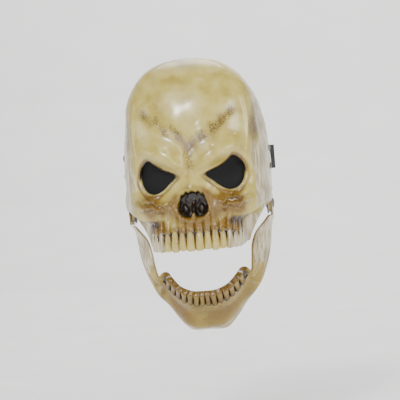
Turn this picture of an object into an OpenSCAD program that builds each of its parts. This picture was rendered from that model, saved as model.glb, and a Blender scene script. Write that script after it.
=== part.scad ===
// Skull half-mask with a moving lower jaw, as it is worn with the mouth wide open.
// X runs across the face, Y runs back into the head and Z runs up.
// The origin is the middle of the jaw's hinge axis.

/* [Skull face] */
// Width of the face across the temples
face_w = 154; // [130:1:190]
// Depth from the hinge axis forward to the front of the upper jaw
face_d = 91; // [78:1:110]
// Height of the crown above the hinge axis
crown_h = 157; // [130:1:190]
// Drop of the upper teeth below the hinge axis
teeth_drop = 40; // [34:1:48]
// Thickness of the cast latex
wall = 2; // [1.6:0.1:3]
// Height of the eye holes' middle above the hinge axis
eye_h = 36; // [30:1:42]
// Distance of each eye hole's middle from the centre line
eye_x = 36; // [32:1:42]
// Width of one eye hole
eye_w = 38; // [28:1:42]
// Height of one eye hole
eye_t = 35; // [24:1:40]
// Height of the nose cavity's middle above the hinge axis
nose_h = 7; // [2:1:12]
// Width of the nose cavity
nose_w = 31; // [24:1:38]
// Height of the nose cavity
nose_t = 27; // [20:1:34]
// Depth of the nose cavity
nose_d = 11; // [6:1:16]

/* [Lower jaw] */
// Angle that the jaw hangs open
jaw_open = 39; // [30:1:40]
// Depth of the chin below the lower teeth
chin_h = 53; // [44:1:62]
// Gap between the two rows of teeth with the jaw closed
bite_gap = 2; // [1:0.5:5]

/* [Hinge] */
// Distance between the outer faces of the two jaw tabs
tab_span = 152; // [130:1:188]
// Radius of the jaw tab
tab_r = 12; // [9:0.5:14]
// Diameter of the hinge rivet's post
rivet_d = 5; // [3:0.5:6]
// Diameter of the hinge rivet's head
rivet_head_d = 11; // [8:0.5:14]
// Height of the hinge rivet's head
rivet_head_h = 1.6; // [1:0.2:2.4]
// Diameter of the washer inside the mask
washer_d = 11; // [9:0.5:14]
// Thickness of the washer
washer_t = 0.8; // [0.5:0.1:1.5]
// Diameter of the reinforcing patch inside the mask
patch_d = 22; // [16:1:26]
// Thickness of the reinforcing patch
patch_t = 1; // [0.6:0.1:2]
// Radial gap between the rivet and the jaw's hole
fit = 0.08; // [0.03:0.01:0.1]
// Side gap between the jaw tab and its neighbours
side_gap = 0.3; // [0.2:0.05:0.6]

/* [Straps] */
// Width of the elastic strap
strap_w = 25; // [15:1:35]
// Thickness of the elastic strap
strap_t = 1.6; // [1:0.1:3]
// Height of the strap's middle above the hinge axis
strap_h = 49; // [40:1:60]
// Depth of the head behind the hinge axis
head_back = 104; // [85:1:125]
// Length of strap lapped over at the back of the head
lap = 60; // [40:1:80]
// Width gained on each side between the shell's edge and the side of the head
strap_spread = 7; // [0:1:12]
// Thickness of one hook-and-loop patch
hook_t = 1.4; // [1:0.1:2]
// Distance between the two rivets of a strap
strap_rivet_gap = 19; // [10:1:19]
// Diameter of a strap rivet's head
strap_rivet_d = 7; // [5:0.5:9]

/* [Padding] */
// Thickness of the foam pads
pad_t = 7; // [4:0.5:10]
// Width of the forehead pad
brow_pad_w = 88; // [60:1:100]
// Height of the forehead pad
brow_pad_h = 26; // [18:1:34]
// Height of the temple pads
temple_pad_h = 34; // [22:1:44]
// Thickness of the eye mesh
mesh_t = 0.6; // [0.4:0.1:1]

/* [Hidden] */

// Grid counts of the two shells
face_cols = 34;
face_rows = 40;
jaw_cols = 3;
jaw_rows = 13;

// Colours of the real materials
latex_colour = "#cfc48c";
mesh_colour = "#15161a";
foam_colour = "#3a3a3e";
metal_colour = "#8d8f92";
elastic_colour = "#18181a";

// Heights and levels
half_w = face_w / 2;
wide_z = 0.28 * crown_h;
tab_x = tab_span / 2;
tab_t = wall;
seat_x = tab_x - tab_t - side_gap;
seat_r = tab_r + 2;
seat_wall = 2.6;
flap_drop = 10;
flap_back = 98;
strap_edge_y = -7;

function smooth(a, b, x) = let(t = min(1, max(0, (x - a) / (b - a)))) t * t * (3 - 2 * t);
function dome(x, z, cx, cz, rx, rz) =
    let(q = pow((x - cx) / rx, 2) + pow((z - cz) / rz, 2)) q < 1 ? (1 - q) * (1 - q) : 0;
function unit(v) = v / norm(v);

// ---- Section of the face: a superellipse round a centre that moves forward at the crown.
function section_w(z) =
    let(q = max(0, z - wide_z) / (crown_h - wide_z)) half_w * pow(max(0, 1 - pow(q, 2.6)), 1 / 2.6);
function section_d(z) =
    let(q = max(0, z - wide_z) / (1.09 * (crown_h - wide_z))) face_d * pow(1 - pow(q, 2.4), 1 / 2.4);
function section_y(z) = -0.42 * face_d * smooth(0.36 * crown_h, crown_h, z);
function section_r(a, z) =
    let(
        w = max(0.01, section_w(z)),
        d = section_d(z) + section_y(z),
        n = 2.3
    )
    pow(pow(abs(sin(a)) / w, n) + pow(abs(cos(a)) / d, n), -1 / n);

// ---- Relief of the skull, positive outward, measured across the face and up.
// The brow slants up and outward, the eye and nose stand back, and the cheek stands out.
function brow(x, z) =
    5 * exp(-pow((z - eye_h - 10 - 0.52 * (x - 14)) / 8, 2)) * smooth(2, 12, x) * smooth(62, 48, x);
function socket(x, z) = -13 * dome(x, z, eye_x + 2, eye_h - 1, 0.84 * eye_w, 0.84 * eye_t);
function nose(x, z) =
    -nose_d * min(1, 1.5 * max(
        dome(x, z, 0.22 * nose_w, nose_h - 4, 0.36 * nose_w, 0.48 * nose_t),
        dome(x, z, 0, nose_h + 4, 0.34 * nose_w, 0.42 * nose_t)
    ));
function cheek(x, z) = 5 * dome(x, z, 50, 7, 26, 17) - 5 * dome(x, z, 30, -7, 17, 13);
function gum(x, z) = 2.5 * exp(-pow((z + teeth_drop - 9) / 9, 2)) * smooth(52, 40, x);
function front_relief(x, z) = brow(x, z) + socket(x, z) + nose(x, z) + cheek(x, z) + gum(x, z);
function side_relief(y, z) = -4 * dome(y, z, -32, 82, 30, 30) + 1.5 * dome(y, z, -34, 14, 40, 14);

// ---- The hollow under the cheekbone, where the jaw's branch passes when the mouth shuts.
function rim_z(a) = -7 + 11 * smooth(32, 66, a);
function pinch(a) = 0.265 * (smooth(20, 54, a) - smooth(60, 84, a));
function hollow(a, z) = pinch(a) * smooth(0, 5, rim_z(a) - z);

// Seat of the jaw tab: the flap is flat round the hinge.
function seated(x, y, z) =
    let(r = norm([y, z]), k = smooth(seat_r + 5, seat_r + 1, r)) x + (min(x, seat_x + 0.5) - x) * k;

function face_point(a, z) =
    let(
        b = abs(a),
        r = section_r(b, z) * (1 - hollow(b, z)),
        x0 = r * sin(b),
        y0 = section_y(z) - r * cos(b),
        x1 = x0 + side_relief(y0, z) * smooth(50, 75, b),
        y1 = y0 - front_relief(x0, z) * smooth(80, 55, b)
    )
    [sign(a) * seated(x1, y1, z), y1, z];

// Lower edge of the face: teeth, the slit up to the cheek, then the hinge flap.
function edge_z(a) =
    let(b = abs(a))
    -teeth_drop + 4 * smooth(25, 56, b)
    + (teeth_drop - 1) * smooth(56, 80, b)
    - (flap_drop + 3) * smooth(80, 86, b)
    + 5 * smooth(91, flap_back, b);
function rear_angle(z) =
    90 + (flap_back - 90) * smooth(crown_h, 10, z) - 4 * smooth(20, 46, z) * smooth(90, 60, z);
// Height of row t at angle a: teeth rows, three rows over the cheek's ledge, then the dome.
function row_z(a, t) =
    let(
        top = crown_h - 1.5,
        low = edge_z(a),
        foot = max(low + 0.6, rim_z(abs(a)) - 5),
        rim = max(low + 1.6, rim_z(abs(a))),
        q = (t - 0.36) / 0.64
    )
    t < 0.28 ? low + (foot - low) * t / 0.28
    : t < 0.36 ? foot + (rim - foot) * (t - 0.28) / 0.08
    : rim + (top - rim) * (q + 0.1 * sin(360 * (q - 0.5)) + 0.08 * sin(180 * q));
function column_share(s) = s * (0.75 + 0.25 * s * s);
function face_grid_point(s, t) =
    let(z = row_z(column_share(s) * rear_angle(0), t))
    face_point(column_share(s) * rear_angle(z), z);

// Inward direction of a surface given by a function of two values.
function face_inward(s, t) =
    let(
        e = 0.006,
        across = face_grid_point(min(1, s + e), t) - face_grid_point(max(-1, s - e), t),
        up = face_grid_point(s, min(1, t + e)) - face_grid_point(s, max(0, t - e))
    )
    unit(cross(up, across));
function face_wall(p) = wall + (seat_wall + 0.5 - wall) * smooth(seat_r + 9, seat_r + 2, norm([p[1], p[2]]));
function face_inner(s, t, d) =
    let(p = face_grid_point(s, t)) p + face_inward(s, t) * (d + face_wall(p) - wall);

// ---- Closed skin between two grids of points of the same size.
function quad(a, b, c, d) = [[a, b, c], [a, c, d]];
function flat(lists) = [for (l = lists) each l];
module skin(front, back) {
    rows = len(front);
    cols = len(front[0]);
    half = rows * cols;
    function at(side, i, j) = side * half + i * cols + j;
    faces = flat([
        for (i = [0 : rows - 2]) for (j = [0 : cols - 2])
            quad(at(0, i, j), at(0, i + 1, j), at(0, i + 1, j + 1), at(0, i, j + 1)),
        for (i = [0 : rows - 2]) for (j = [0 : cols - 2])
            quad(at(1, i, j), at(1, i, j + 1), at(1, i + 1, j + 1), at(1, i + 1, j)),
        for (i = [0 : rows - 2])
            quad(at(0, i, 0), at(1, i, 0), at(1, i + 1, 0), at(0, i + 1, 0)),
        for (i = [0 : rows - 2])
            quad(at(0, i, cols - 1), at(0, i + 1, cols - 1), at(1, i + 1, cols - 1), at(1, i, cols - 1)),
        for (j = [0 : cols - 2])
            quad(at(0, 0, j), at(0, 0, j + 1), at(1, 0, j + 1), at(1, 0, j)),
        for (j = [0 : cols - 2])
            quad(at(0, rows - 1, j), at(1, rows - 1, j), at(1, rows - 1, j + 1), at(0, rows - 1, j + 1))
    ]);
    polyhedron(concat(flat(front), flat(back)), faces, convexity = 10);
}

// ---- Outline of the right eye hole, about its own middle: a slanted teardrop.
eye_shape = [
    [-0.53, 0.03], [-0.2, 0.2], [0.02, 0.36], [0.18, 0.5], [0.33, 0.42], [0.45, 0.2],
    [0.47, -0.02], [0.4, -0.25], [0.25, -0.42], [0.06, -0.47], [-0.15, -0.38], [-0.36, -0.18]
];
function eye_outline(grow) =
    [for (p = eye_shape) let(q = [p[0] * eye_w, p[1] * eye_t]) q + unit(q) * grow];
module eye_cut(side) {
    translate([side * eye_x, 0, eye_h])
        rotate([90, 0, 0])
            scale([side, 1, 1])
                linear_extrude(face_d + 20)
                    polygon(eye_outline(0));
}

// ---- Hinge parts, drawn on the +X side and mirrored for the other.
module on_side(side) {
    mirror([side < 0 ? 1 : 0, 0, 0]) children();
}
module disc_x(from, to, d) {
    translate([from, 0, 0])
        rotate([0, 90, 0])
            cylinder(h = to - from, d = d, $fn = 48);
}

module skull_face() {
    front = [for (i = [0 : face_rows]) [for (j = [-face_cols : face_cols])
        face_grid_point(j / face_cols, i / face_rows)]];
    back = [for (i = [0 : face_rows]) [for (j = [-face_cols : face_cols])
        face_inner(j / face_cols, i / face_rows, wall)]];
    color(latex_colour)
        difference() {
            skin(front, back);
            for (side = [-1, 1]) eye_cut(side);
            for (side = [-1, 1]) on_side(side) {
                disc_x(seat_x - 8, seat_x + 8, rivet_d);
                disc_x(seat_x, seat_x + 6, 2 * seat_r);
                disc_x(seat_x - seat_wall - 8, seat_x - seat_wall, patch_d + 1);
                strap_holes();
            }
        }
}

// ---- Lower jaw, laid out with the mouth shut: stations from the chin to the hinge tab.
// Each one holds the lower or rear edge, the upper or front edge and the outward swell.
chin_z = -teeth_drop - bite_gap - chin_h;
bite_z = -teeth_drop - bite_gap;
jaw_d = face_d - 2;
jaw_w = half_w - 2;
stations = [
    [[0, 4.5 - jaw_d, chin_z], [0, -jaw_d, bite_z], 7],
    [[18, 5.5 - jaw_d, chin_z], [14, 1.5 - jaw_d, bite_z], 7],
    [[0.4 * jaw_w, 15 - jaw_d, chin_z + 6], [0.37 * jaw_w, 9 - jaw_d, bite_z + 1], 5],
    [[0.53 * jaw_w, 25 - jaw_d, chin_z + 15], [0.5 * jaw_w, 21 - jaw_d, bite_z + 3.5], 5],
    [[0.64 * jaw_w, 33 - jaw_d, chin_z + 21], [0.575 * jaw_w, 30 - jaw_d, bite_z + 4.5], 6],
    [[0.73 * jaw_w, 40 - jaw_d, chin_z + 27], [0.665 * jaw_w, 31 - jaw_d, bite_z - 0.5], 4],
    [[0.82 * jaw_w, 48 - jaw_d, chin_z + 34], [0.697 * jaw_w, 33 - jaw_d, bite_z + 14], 3],
    [[0.89 * jaw_w, 57 - jaw_d, chin_z + 44], [0.72 * jaw_w, 39 - jaw_d, bite_z + 29], 2],
    [[0.94 * jaw_w, 68 - jaw_d, -40], [0.78 * jaw_w, 52 - jaw_d, -7], 1],
    [[tab_x - 3, -8, -26], [tab_x - 8, -1.95 * tab_r, -4.5], 0.5],
    [[tab_x, 0.1 * tab_r, -1.35 * tab_r], [tab_x, -1.15 * tab_r, 0.1 * tab_r], 0],
    [[tab_x, 0.85 * tab_r, -0.55 * tab_r], [tab_x, -0.85 * tab_r, 0.6 * tab_r], 0],
    [[tab_x, 0.95 * tab_r, 0.3 * tab_r], [tab_x, -0.3 * tab_r, 0.95 * tab_r], 0],
    [[tab_x, 0.7 * tab_r, 0.68 * tab_r], [tab_x, 0.15 * tab_r, 0.96 * tab_r], 0]
];
last_station = len(stations) - 1;

// Smooth curve through one edge of the stations, mirrored at the chin.
function station(k, which) =
    let(i = min(last_station, abs(k)), p = stations[i][which])
    which == 2 ? p : [k < 0 ? -p[0] : p[0], p[1], p[2]];
function between(u, which) =
    let(
        k = min(last_station - 1, floor(u)),
        t = u - k,
        a = station(k - 1, which), b = station(k, which),
        c = station(k + 1, which), d = station(k + 2, which)
    )
    0.5 * (2 * b + (c - a) * t + (2 * a - 5 * b + 4 * c - d) * t * t + (3 * b - a - 3 * c + d) * t * t * t);
// Chin, groove and gum from the lower edge up to the teeth.
function jaw_swell(v) = 1.1 * dome(v, 0, 0.24, 0, 0.34, 1) + 0.3 * dome(v, 0, 0.68, 0, 0.2, 1);
function jaw_point(u, v) =
    let(
        b = abs(u),
        low = between(b, 0),
        high = between(b, 1),
        base = low + (high - low) * v,
        out = unit([base[0], base[1] * 1.1, 0]),
        back_swell = jaw_swell(v) + (sin(180 * v) - jaw_swell(v)) * smooth(5, 7, b),
        swell = between(b, 2) * (b < 5 ? jaw_swell(v) : back_swell),
        p = base + out * swell
    )
    [(u < 0 ? -1 : 1) * (b > 9.6 ? tab_x : min(tab_x, p[0])), p[1], p[2]];
function jaw_inward(u, v) =
    let(
        e = 0.02,
        across = jaw_point(min(last_station, u + e), v) - jaw_point(max(-last_station, u - e), v),
        up = jaw_point(u, min(1, v + e)) - jaw_point(u, max(0, v - e))
    )
    abs(u) > 9.6 ? [u < 0 ? 1 : -1, 0, 0] : unit(cross(up, across));
function jaw_inner(u, v, d) = jaw_point(u, v) + jaw_inward(u, v) * d;
function jaw_grid(d, from, to, v0, v1, cols, rows) =
    [for (i = [0 : rows]) [for (j = [0 : cols])
        jaw_inner(from + (to - from) * j / cols, v0 + (v1 - v0) * i / rows, d)]];
module hang_open() {
    rotate([jaw_open, 0, 0]) children();
}

module lower_jaw() {
    cols = 2 * jaw_cols * last_station;
    color(latex_colour)
        hang_open()
            difference() {
                skin(
                    jaw_grid(0, -last_station, last_station, 0, 1, cols, jaw_rows),
                    jaw_grid(wall, -last_station, last_station, 0, 1, cols, jaw_rows)
                );
                for (side = [-1, 1]) on_side(side)
                    disc_x(tab_x - tab_t - 4, tab_x + 4, rivet_d + 2 * fit);
            }
}

// ---- Pieces that lie against the inside of the mask.
// A patch covers a rounded field of the shell, given by two half sizes about its middle.
glue_gap = 0.8;
function field(i, j, n) =
    let(p = [2 * j / n - 1, 2 * i / n - 1])
    [p[0] * sqrt(1 - p[1] * p[1] * 0.38), p[1] * sqrt(1 - p[0] * p[0] * 0.38)];
function face_at(a, z, d) =
    let(
        e = 0.5,
        across = face_point(a + e, z) - face_point(a - e, z),
        up = face_point(a, z + e) - face_point(a, z - e)
    )
    face_point(a, z) + unit(cross(up, across)) * d;
function face_patch(a, z, half_a, half_z, d, n) =
    [for (i = [0 : n]) [for (j = [0 : n])
        let(f = field(i, j, n)) face_at(a + half_a * f[0], z + half_z * f[1], d)]];
module face_pad(a, z, half_a, half_z, thick, n) {
    skin(
        face_patch(a, z, half_a, half_z, wall + glue_gap, n),
        face_patch(a, z, half_a, half_z, wall + glue_gap + thick, n)
    );
}

// The eye mesh is a thin sheet behind the hole, bent to the back of the socket.
mesh_gap = 1.4;
mesh_margin = 6;
function eye_skin(x, z) =
    let(w = section_w(z), d = section_d(z) + section_y(z))
    [x, section_y(z) - d * pow(1 - pow(abs(x) / w, 2.3), 1 / 2.3) - front_relief(abs(x), z), z];
function eye_sheet(x, z, d) =
    let(
        e = 0.5,
        across = eye_skin(x + e, z) - eye_skin(x - e, z),
        up = eye_skin(x, z + e) - eye_skin(x, z - e)
    )
    eye_skin(x, z) + unit(cross(up, across)) * (wall + mesh_gap + d);
module eye_mesh(side) {
    color(mesh_colour)
        on_side(side)
            eye_mesh_solid();
}
module eye_mesh_solid() {
    rim = eye_outline(mesh_margin);
    n = len(rim);
    rings = 5;
    function ring(d, i) = [for (p = rim) eye_sheet(eye_x + p[0] * i / rings, eye_h + p[1] * i / rings, d)];
    function side_points(d) = concat([eye_sheet(eye_x, eye_h, d)], flat([for (i = [1 : rings]) ring(d, i)]));
    half = 1 + n * rings;
    function at(s, i, j) = s * half + (i == 0 ? 0 : 1 + (i - 1) * n + j % n);
    faces = flat([
        [for (j = [0 : n - 1]) [at(0, 0, 0), at(0, 1, j), at(0, 1, j + 1)]],
        [for (j = [0 : n - 1]) [at(1, 0, 0), at(1, 1, j + 1), at(1, 1, j)]],
        for (i = [1 : rings - 1]) for (j = [0 : n - 1])
            quad(at(0, i, j), at(0, i + 1, j), at(0, i + 1, j + 1), at(0, i, j + 1)),
        for (i = [1 : rings - 1]) for (j = [0 : n - 1])
            quad(at(1, i, j), at(1, i, j + 1), at(1, i + 1, j + 1), at(1, i + 1, j)),
        for (j = [0 : n - 1])
            quad(at(0, rings, j), at(1, rings, j), at(1, rings, j + 1), at(0, rings, j + 1))
    ]);
    polyhedron(concat(side_points(0), side_points(mesh_t)), faces, convexity = 6);
}

module forehead_pad() {
    color(foam_colour)
        face_pad(0, 0.66 * crown_h, 0.5 * brow_pad_w / face_d * 60, brow_pad_h / 2, pad_t, 12);
}
module temple_pad(side) {
    color(foam_colour)
        on_side(side)
            face_pad(68, 0.6 * crown_h, 9, temple_pad_h / 2, pad_t, 8);
}
module chin_cup() {
    color(foam_colour)
        hang_open()
            skin(
                jaw_grid(wall + glue_gap, -2.2, 2.2, 0.08, 0.5, 12, 6),
                jaw_grid(wall + glue_gap + pad_t, -2.2, 2.2, 0.08, 0.5, 12, 6)
            );
}

// ---- Hinge: the rivet's head lies outside the jaw tab, its post passes both shells.
rivet_in = seat_x - seat_wall - patch_t - washer_t;
module hinge_rivet(side) {
    color(metal_colour)
        on_side(side) {
            disc_x(rivet_in - 0.8, tab_x + side_gap + rivet_head_h, rivet_d);
            disc_x(rivet_in - 0.8, rivet_in, rivet_d + 3);
            translate([tab_x + side_gap, 0, 0])
                rotate([0, 90, 0])
                    cylinder(h = rivet_head_h, d1 = rivet_head_d, d2 = 0.6 * rivet_head_d, $fn = 48);
        }
}
module hinge_ring(side, from, to, d) {
    on_side(side)
        difference() {
            disc_x(from, to, d);
            disc_x(from - 1, to + 1, rivet_d);
        }
}
module hinge_washer(side) {
    color(metal_colour) hinge_ring(side, rivet_in, rivet_in + washer_t, washer_d);
}
module hinge_patch(side) {
    color(foam_colour)
        hinge_ring(side, seat_x - seat_wall - patch_t, seat_x - seat_wall, patch_d);
}

// ---- Straps: two elastic bands round the back of the head, lapped and held by hook and loop.
strap_lie = 1.2;
strap_edge_x = min([for (up = [-0.5, 0.5]) face_point(90, strap_h + up * strap_w)[0]]) - wall - strap_lie;
strap_start = strap_edge_y - 8;
strap_free = strap_edge_y + 8;
strap_turn = 24;
outer_lift = strap_t + 2 * hook_t;
sew_gap = 0.15;
strap_head_gap = 0.4;
strap_head_h = 1.2;
function strap_head_x(z) = face_point(90, z - strap_rivet_d / 2)[0] + strap_head_gap;
function strap_point(b, off) =
    let(e = 0.78, w = strap_edge_x - strap_t + strap_spread + off, d = head_back - strap_turn + off)
    [w * sign(cos(b)) * pow(abs(cos(b)), e), strap_turn + d * pow(sin(b), e)];
function strap_run(b0, b1, off, lift) =
    let(n = 30)
    [for (i = [0 : n]) let(b = b0 + (b1 - b0) * i / n) strap_point(b, off + lift * smooth(35, 62, b))];
// The band lies flat on the shell at its rivets, then spreads out to the side of the head.
function strap_side(off) =
    let(n = 8)
    concat(
        [[strap_edge_x - strap_t + off, strap_start]],
        [for (i = [0 : n - 1]) let(y = strap_free + (strap_turn - strap_free) * i / n)
            [strap_edge_x - strap_t + off + strap_spread * smooth(strap_free, strap_turn, y), y]]
    );
function backward(list) = [for (i = [len(list) - 1 : -1 : 0]) list[i]];
function band(b0, b1, inner, outer) =
    concat(strap_run(b0, b1, inner, 0), backward(strap_run(b0, b1, outer, 0)));
function whole_band(lift) =
    concat(
        strap_side(0), strap_run(0, lap_angle(lap), 0, lift),
        backward(concat(strap_side(strap_t), strap_run(0, lap_angle(lap), strap_t, lift)))
    );
function lap_angle(length) = 90 + 0.5 * length / head_back * 64;
module band_solid(outline, height) {
    translate([0, 0, strap_h - height / 2])
        linear_extrude(height)
            polygon(outline);
}
module strap_band(lift) {
    difference() {
        band_solid(whole_band(lift), strap_w);
        strap_holes();
    }
}
module strap_holes() {
    for (up = [-0.5, 0.5])
        translate([0, strap_edge_y, strap_h + up * strap_rivet_gap])
            disc_x(strap_edge_x - 6, strap_edge_x + 8, 3);
}
module strap_left() {
    color(elastic_colour) on_side(-1) strap_band(outer_lift);
}
module strap_right() {
    color(elastic_colour) strap_band(0);
}
module loop_patch() {
    color(foam_colour)
        band_solid(
            band(180 - lap_angle(lap), lap_angle(lap), strap_t + sew_gap, strap_t + hook_t), strap_w - 2
        );
}
module hook_patch() {
    color(foam_colour)
        on_side(-1)
            band_solid(
                band(180 - lap_angle(lap), lap_angle(lap), strap_t + hook_t, outer_lift - sew_gap),
                strap_w - 2
            );
}
module strap_head() {
    cylinder(h = strap_head_h, d1 = strap_rivet_d, d2 = 0.6 * strap_rivet_d, $fn = 40);
}
module strap_rivets(side) {
    color(metal_colour)
        on_side(side)
            for (up = [-0.5, 0.5])
                let (z = strap_h + up * strap_rivet_gap, head_x = strap_head_x(z))
                    translate([0, strap_edge_y, z]) {
                        disc_x(strap_edge_x - strap_t - 1.4, head_x + 0.5 * strap_head_h, 3);
                        translate([head_x, 0, 0])
                            rotate([0, 90, 0])
                                strap_head();
                    }
}
module strap_washers(side) {
    color(metal_colour)
        on_side(side)
            for (up = [-0.5, 0.5])
                translate([0, strap_edge_y, strap_h + up * strap_rivet_gap])
                    difference() {
                        disc_x(strap_edge_x - strap_t - 0.8, strap_edge_x - strap_t, strap_rivet_d + 1);
                        disc_x(strap_edge_x - strap_t - 2, strap_edge_x, 3);
                    }
}

skull_face();
lower_jaw();
eye_mesh(-1);  // eye_mesh_left
eye_mesh(1);  // eye_mesh_right
hinge_rivet(-1);  // hinge_rivet_left
hinge_rivet(1);  // hinge_rivet_right
hinge_washer(-1);  // hinge_washer_left
hinge_washer(1);  // hinge_washer_right
hinge_patch(-1);  // hinge_patch_left
hinge_patch(1);  // hinge_patch_right
forehead_pad();
temple_pad(-1);  // temple_pad_left
temple_pad(1);  // temple_pad_right
chin_cup();
strap_left();
strap_right();
loop_patch();
hook_patch();
strap_rivets(-1);  // strap_rivets_left
strap_rivets(1);  // strap_rivets_right
strap_washers(-1);  // strap_washers_left
strap_washers(1);  // strap_washers_right
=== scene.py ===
import math

import bmesh
import bpy
import numpy as np
from mathutils import Matrix, Vector


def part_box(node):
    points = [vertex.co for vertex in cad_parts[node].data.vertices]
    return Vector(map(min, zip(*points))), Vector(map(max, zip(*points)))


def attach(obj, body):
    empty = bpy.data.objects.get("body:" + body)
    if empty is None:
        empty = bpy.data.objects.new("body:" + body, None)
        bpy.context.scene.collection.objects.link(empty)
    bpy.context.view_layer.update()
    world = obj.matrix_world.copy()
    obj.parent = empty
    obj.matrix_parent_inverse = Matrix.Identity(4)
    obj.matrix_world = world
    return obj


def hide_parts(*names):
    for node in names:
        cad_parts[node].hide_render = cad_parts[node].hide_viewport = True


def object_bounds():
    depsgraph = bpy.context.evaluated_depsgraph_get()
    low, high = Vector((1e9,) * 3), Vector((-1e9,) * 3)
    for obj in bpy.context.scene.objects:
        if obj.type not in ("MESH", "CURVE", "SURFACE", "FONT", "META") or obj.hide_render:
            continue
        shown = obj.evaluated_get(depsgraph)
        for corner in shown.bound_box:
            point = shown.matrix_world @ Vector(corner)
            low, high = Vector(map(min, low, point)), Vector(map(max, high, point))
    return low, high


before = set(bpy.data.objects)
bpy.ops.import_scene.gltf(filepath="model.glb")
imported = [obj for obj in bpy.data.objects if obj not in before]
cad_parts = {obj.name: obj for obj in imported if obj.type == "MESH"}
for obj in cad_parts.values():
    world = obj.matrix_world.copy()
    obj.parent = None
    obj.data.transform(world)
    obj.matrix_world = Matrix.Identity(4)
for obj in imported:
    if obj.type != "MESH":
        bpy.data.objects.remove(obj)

# The CAD model's box; its floor sets the height of the paper cove.
cad_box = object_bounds()
MM = 0.001


# ---- Studio: a pale cove, soft lights and the camera.
# A matt paper cove stands behind and under the mask, which hangs as it does on a head.
def tone(code, alpha=1.0):
    """sRGB hex colour as the linear values a shader takes."""
    parts = [int(code[i:i + 2], 16) / 255 for i in (1, 3, 5)]
    return tuple(c / 12.92 if c <= 0.04045 else ((c + 0.055) / 1.055) ** 2.4 for c in parts) + (alpha,)


def material(name):
    """A new material with its tree and its surface shader."""
    made = bpy.data.materials.new(name)
    made.use_nodes = True
    return made, made.node_tree, made.node_tree.nodes["Principled BSDF"]


def add(tree, kind, links=None, sockets=None, **settings):
    """Adds a node with its settings, socket values and incoming links."""
    made = tree.nodes.new(kind)
    for key, value in settings.items():
        setattr(made, key, value)
    for key, value in (sockets or {}).items():
        made.inputs[key].default_value = value
    for key, source in (links or {}).items():
        tree.links.new(source, made.inputs[key])
    return made


def ramp(tree, source, stops):
    """A colour ramp over a value, from (place, hex) stops."""
    made = add(tree, "ShaderNodeValToRGB", {"Fac": source})
    band = made.color_ramp.elements
    while len(band) < len(stops):
        band.new(0.5)
    for element, (place, code) in zip(band, stops):
        element.position = place
        element.color = tone(code)
    return made.outputs["Color"]


def mesh_object(name, bm, *materials):
    """Turns a bmesh into a smooth-shaded object with its materials."""
    data = bpy.data.meshes.new(name)
    bm.to_mesh(data)
    bm.free()
    made = bpy.data.objects.new(name, data)
    bpy.context.collection.objects.link(made)
    for one in materials:
        data.materials.append(one)
    data.shade_smooth()
    data.set_sharp_from_angle(angle=math.radians(62))
    return made


paper, tree, shader = material("matt_paper")
grain = add(tree, "ShaderNodeTexNoise", sockets={"Scale": 60.0, "Detail": 4.0})
pale = ramp(tree, grain.outputs["Fac"], [(0.3, "#f1f1f0"), (0.7, "#f6f6f5")])
tree.links.new(pale, shader.inputs["Base Color"])
shader.inputs["Roughness"].default_value = 0.9
cove_low = cad_box[0][2] - 0.12
cove = bmesh.new()
bmesh.ops.create_grid(cove, x_segments=2, y_segments=24, size=1)
for vert in cove.verts:
    along = (vert.co.y + 1) / 2
    turn = min(max((along - 0.55) / 0.15, 0), 1) * math.pi / 2
    vert.co = (
        vert.co.x * 4,
        -3 + min(along, 0.55) * 8 + 0.8 * math.sin(turn),
        cove_low + 0.8 * (1 - math.cos(turn)) + max(along - 0.7, 0) * 12,
    )
cove_piece = mesh_object("cove", cove, paper)

azimuth, elevation, roll = math.radians(5.5), math.radians(1.5), math.radians(4.5)
lens, sensor = 150.0, 36.0
view_width = 0.412
reach = view_width * lens / sensor
toward = Vector((
    math.sin(azimuth) * math.cos(elevation),
    -math.cos(azimuth) * math.cos(elevation),
    math.sin(elevation),
))
camera_data = bpy.data.cameras.new("camera")
camera_data.lens = lens
camera_data.sensor_width = sensor
camera = bpy.data.objects.new("camera", camera_data)
bpy.context.collection.objects.link(camera)
looked_at = Vector((0.0045, -0.055, 0.0102))
facing = (-toward).to_track_quat("-Z", "Y")
camera.rotation_euler = (facing @ Matrix.Rotation(-roll, 3, "Z").to_quaternion()).to_euler()
camera.location = looked_at + toward * reach
bpy.context.scene.camera = camera

world = bpy.data.worlds.new("soft_room")
bpy.context.scene.world = world
world.use_nodes = True
world.node_tree.nodes["Background"].inputs["Color"].default_value = tone("#ffffff")
world.node_tree.nodes["Background"].inputs["Strength"].default_value = 0.22
for name, place, size, power in (
    ("key_softbox", (-0.35, -1.5, 1.2), 0.32, 27),
    ("right_softbox", (1.35, -0.6, 0.35), 0.6, 12),
    ("left_softbox", (-1.4, -0.3, 0.15), 0.7, 6),
    ("front_softbox", (0.25, -1.9, 0.5), 0.22, 9),
    ("paper_light", (0.0, 1.0, 1.9), 1.6, 60),
):
    lamp = bpy.data.lights.new(name, "AREA")
    lamp.energy = power
    lamp.shape = "DISK"
    lamp.size = size
    held = bpy.data.objects.new(name, lamp)
    bpy.context.collection.objects.link(held)
    held.location = place
    aim = Vector((0, 1.9, 0.2)) if name == "paper_light" else Vector((0, -0.03, 0.02))
    held.rotation_euler = (aim - Vector(place)).to_track_quat("-Z", "Y").to_euler()


# ---- Skull face: the upper shell of the mask, slush-cast latex about 2 mm thick.
# Sculpted brow, nose cavity, cheekbones and teeth, painted by hand and varnished.
def smooth(low, high, value):
    t = np.clip((value - low) / (high - low), 0.0, 1.0)
    return t * t * (3 - 2 * t)


def dome(p, q, cp, cq, rp, rq):
    d = ((p - cp) / rp) ** 2 + ((q - cq) / rq) ** 2
    return np.where(d < 1, (1 - d) ** 2, 0.0)


def ridge(distance, width):
    return np.exp(-(distance / width) ** 2)


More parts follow.
